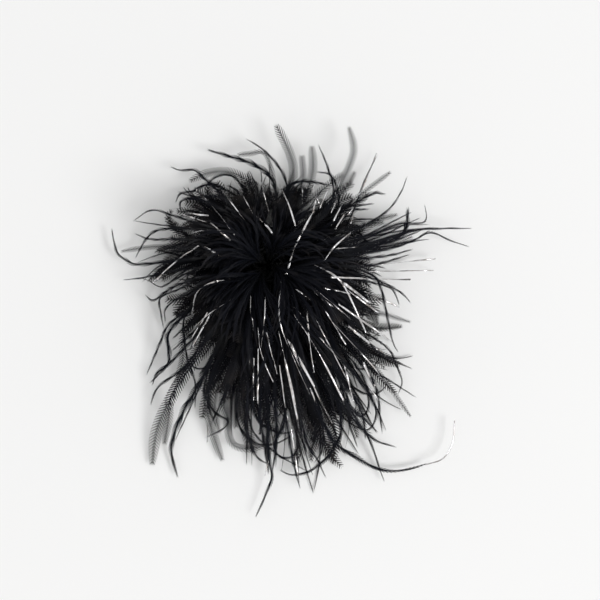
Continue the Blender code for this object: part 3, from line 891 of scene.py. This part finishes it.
def silver_tinsel():
    """Dented silver film, painted brownish and darker in its hollows as painted shade."""
    material = finish("silver_tinsel", (0.80, 0.80, 0.81), 0.24, metallic=1.0)
    tree = material.node_tree
    shader = tree.nodes["Principled BSDF"]
    place = tree.nodes.new("ShaderNodeTexCoord")
    dents_and_painted_shade = tree.nodes.new("ShaderNodeTexNoise")
    dents_and_painted_shade.inputs["Scale"].default_value = 220
    dents_and_painted_shade.inputs["Detail"].default_value = 3
    bump = tree.nodes.new("ShaderNodeBump")
    bump.inputs["Strength"].default_value = 0.5
    bump.inputs["Distance"].default_value = 0.0005
    # Painted shade: the hollows of the dents are coloured dark brownish, and their raised parts light
    # silver.
    tone = tree.nodes.new("ShaderNodeValToRGB")
    tone.color_ramp.elements[0].position = 0.30
    tone.color_ramp.elements[0].color = (0.42, 0.38, 0.35, 1)
    tone.color_ramp.elements[1].position = 0.62
    tone.color_ramp.elements[1].color = (0.88, 0.88, 0.90, 1)
    links = tree.links
    links.new(place.outputs["Object"], dents_and_painted_shade.inputs["Vector"])
    links.new(dents_and_painted_shade.outputs["Fac"], bump.inputs["Height"])
    links.new(dents_and_painted_shade.outputs["Fac"], tone.inputs["Fac"])
    links.new(tone.outputs["Color"], shader.inputs["Base Color"])
    links.new(bump.outputs["Normal"], shader.inputs["Normal"])
    return material


TINSEL = silver_tinsel()
TO_WINDOW = np.array(WINDOW) / np.linalg.norm(WINDOW)
HALFWAY = TO_WINDOW + [0, 0, 1]
SHINING = HALFWAY / np.linalg.norm(HALFWAY)  # a strip that faces this way shines, seen from above


def lay_strip(laid, path, width, shine, turned, rng):
    """A ribbon along a path.

    It faces the light from the first to the last of shine, as shares of its length, and is turned away
    from it before and after.
    """
    steps = len(path) - 1
    place = np.linspace(0, 1, steps + 1)
    ways = unit(np.gradient(path, axis=0))
    side = unit(np.cross(ways, [0, 0, 1.0]))
    up = np.cross(side, ways)
    facing = np.arctan2(-(side @ SHINING), up @ SHINING)
    first, last = shine
    outside = np.clip(np.maximum(first - place, place - last) / TURNING_SHARE, 0, 1)
    turn = facing + turned * smoothed(outside, 1) + TWIST * np.sin(11 * place + 6 * rng.random())
    across, above = rolled(side, up, turn)
    points = []
    for right, over in ((-1, -1), (1, -1), (1, 1), (-1, 1)):
        points.append(path + across * right * width / 2 + above * over * STRIP_THICKNESS / 2)
    points = np.stack(points, axis=1).reshape(-1, 3)
    faces = []
    for step in range(steps):
        for corner in range(4):
            a = 4 * step + corner
            b = 4 * step + (corner + 1) % 4
            faces += [(a, b, b + 4), (a, b + 4, a + 4)]
    end = 4 * steps
    faces += [(0, 2, 1), (0, 3, 2), (end, end + 1, end + 2), (end, end + 2, end + 3)]
    corners_across = np.tile([-1.0, 1.0, 0.6, -0.6], steps + 1)
    laid.add(points, np.array(faces), np.repeat(place, 4), corners_across, rng.random())
    laid.rows += 1


SPRAYS = {
    # width in mm, the share where the shine begins and ends, then places as azimuth and radius in mm
    "lower": [
        (1.2, 0.15, 0.40, [(311, 13), (283, 34), (286, 60), (288, 82)]),
        (1.9, 0.10, 0.95, [(285, 44), (291, 78)]),
        (1.4, 0.55, 0.95, [(298, 34), (300, 59), (299, 93)]),
        (2.0, 0.35, 1.00, [(280, 40), (281, 68), (281, 95)]),
        (1.1, 0.30, 0.60, [(290, 60), (291, 86), (292, 103)]),
        (1.0, 0.50, 0.70, [(277, 60), (277, 95)]),
        (0.9, 0.60, 0.95, [(278, 100), (278, 131)]),
        (1.2, 0.70, 0.95, [(286, 50), (289, 80), (289, 92)]),
        (1.3, 0.20, 0.50, [(314, 33), (297, 55), (293, 70)]),
    ],
    "lower_right": [
        (1.3, 0.25, 0.95, [(0, 26), (349, 40), (341, 49), (325, 71)]),
        (1.3, 0.05, 0.35, [(347, 38), (354, 87)]),
        (1.9, 0.10, 0.95, [(346, 44), (339, 66)]),
        (1.3, 0.40, 0.90, [(343, 46), (336, 72)]),
        (1.3, 0.10, 0.80, [(330, 48), (328, 89)]),
        (1.9, 0.20, 0.90, [(322, 60), (322, 90)]),
        (1.2, 0.80, 1.00, [(322, 40), (314, 67)]),
        (1.9, 0.10, 0.60, [(314, 82), (311, 98)]),
        (1.2, 0.30, 0.80, [(310, 80), (309, 110)]),
        (1.3, 0.20, 0.50, [(307, 76), (302, 96)]),
        (0.9, 0.40, 0.60, [(336, 36), (340, 52)]),
        (1.0, 0.60, 0.80, [(318, 50), (316, 84), (315, 100)]),
        (0.8, 0.45, 0.55, [(302, 30), (306, 60), (308, 84)]),
        (0.8, 0.60, 0.75, [(332, 30), (326, 60)]),
        (0.8, 0.20, 0.35, [(312, 40), (304, 88)]),
        (1.0, 0.00, 1.00, [(308, 155), (312, 159), (316, 156), (320, 148)]),
    ],
    "upper": [
        (1.4, 0.05, 0.50, [(77, 17), (92, 22), (102, 28)]),
        (1.0, 0.40, 0.60, [(88, 30), (95, 50)]),
        (0.8, 0.30, 0.50, [(106, 30), (112, 56)]),
        (0.8, 0.50, 0.70, [(118, 28), (122, 54)]),
    ],
    "left": [
        (1.2, 0.25, 0.75, [(166, 41), (175, 51), (182, 60), (189, 71)]),
        (1.0, 0.20, 0.60, [(203, 23), (200, 36), (204, 46), (214, 56)]),
        (0.9, 0.30, 0.55, [(226, 29), (221, 47), (221, 67), (220, 82)]),
        (1.5, 0.40, 0.90, [(221, 44), (228, 68)]),
        (1.0, 0.50, 0.80, [(219, 46), (225, 67)]),
        (0.8, 0.40, 0.60, [(241, 78), (251, 115)]),
    ],
    "right": [
        (0.9, 0.30, 0.60, [(316, 18), (320, 34)]),
        (1.2, 0.40, 0.80, [(328, 31), (326, 48)]),
        (1.2, 0.80, 0.95, [(358, 50), (2, 102)]),
        (0.8, 0.60, 0.90, [(356, 60), (358, 101)]),
        (1.0, 0.50, 0.90, [(344, 60), (342, 84)]),
    ],
    "lower_inner": [
        (0.9, 0.10, 0.40, [(241, 19), (252, 30), (258, 38), (260, 60)]),
        (0.9, 0.10, 0.50, [(268, 18), (268, 32), (266, 50)]),
        (0.9, 0.70, 0.95, [(262, 38), (266, 52), (273, 70)]),
        (0.9, 0.30, 0.60, [(270, 40), (275, 65)]),
        (1.4, 0.70, 0.90, [(264, 50), (265, 64), (266, 84)]),
        (0.9, 0.40, 0.60, [(262, 56), (264, 84)]),
        (0.9, 0.60, 0.90, [(272, 104), (269, 129)]),
    ],
    "upper_right": [
        (1.3, 0.15, 0.95, [(82, 49), (69, 36), (52, 27)]),
        (1.6, 0.05, 0.60, [(48, 41), (42, 29), (21, 16), (330, 13)]),
        (1.2, 0.15, 0.70, [(22, 58), (14, 41), (2, 33)]),
        (1.1, 0.20, 0.60, [(64, 56), (44, 45)]),
        (1.4, 0.20, 0.80, [(39, 58), (31, 44)]),
        (1.1, 0.40, 0.70, [(26, 55), (36, 67), (41, 79), (46, 95)]),
        (0.9, 0.20, 0.50, [(56, 54), (48, 40)]),
        (0.8, 0.30, 0.90, [(44, 60), (38, 47)]),
        (0.8, 0.10, 0.60, [(34, 64), (29, 50)]),
        (0.8, 0.50, 0.80, [(12, 40), (10, 66)]),
        (1.3, 0.10, 0.90, [(52, 61), (46, 44)]),
        (1.2, 0.20, 0.80, [(45, 65), (41, 50)]),
        (1.0, 0.10, 0.70, [(61, 59), (54, 43)]),
        (1.1, 0.30, 0.90, [(35, 59), (27, 45)]),
        (0.9, 0.20, 0.80, [(68, 56), (60, 41)]),
    ],
    "upper_left": [
        (1.2, 0.00, 0.45, [(134, 62), (134, 47), (139, 24)]),
        (1.3, 0.30, 1.00, [(148, 60), (146, 53), (141, 45)]),
        (1.5, 0.55, 1.00, [(143, 44), (145, 38), (148, 24)]),
        (0.9, 0.30, 0.60, [(158, 48), (145, 33)]),
        (1.1, 0.30, 0.80, [(165, 38), (171, 28)]),
        (1.0, 0.30, 0.50, [(150, 60), (146, 44)]),
    ],
}

for number, (side_of_puff, strips) in enumerate(SPRAYS.items()):
    rng = np.random.default_rng(500 + number)
    laid = Laid()
    for width, first, last, places in strips:
        path = smooth_line(places, STRIP_STEPS)
        share = np.linspace(0, 1, len(path))
        shown = np.clip(np.minimum(share - first + 0.1, last + 0.1 - share) / 0.1, 0, 1)
        top = feather_top(path)
        even = np.polyval(np.polyfit(share, top, 3), share)
        even += min(MOST_RAISED, max(0, ((top - even) * shown).max()))
        path[:, 2] = even - HIDDEN_DEPTH + SHOWN_RISE * smoothed(shown, 6)
        path[:, 2] = np.maximum(path[:, 2], LOWEST_STRIP)
        turned = rng.choice([-1, 1]) * rng.uniform(0.45, 1.1)
        lay_strip(laid, path, STRIP_NARROWER * width / 1000, (first, last), turned, rng)
    piece = laid.piece(f"tinsel_{side_of_puff}", TINSEL)
    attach(piece, "root")
    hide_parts(f"tinsel_strip_{number + 1}")
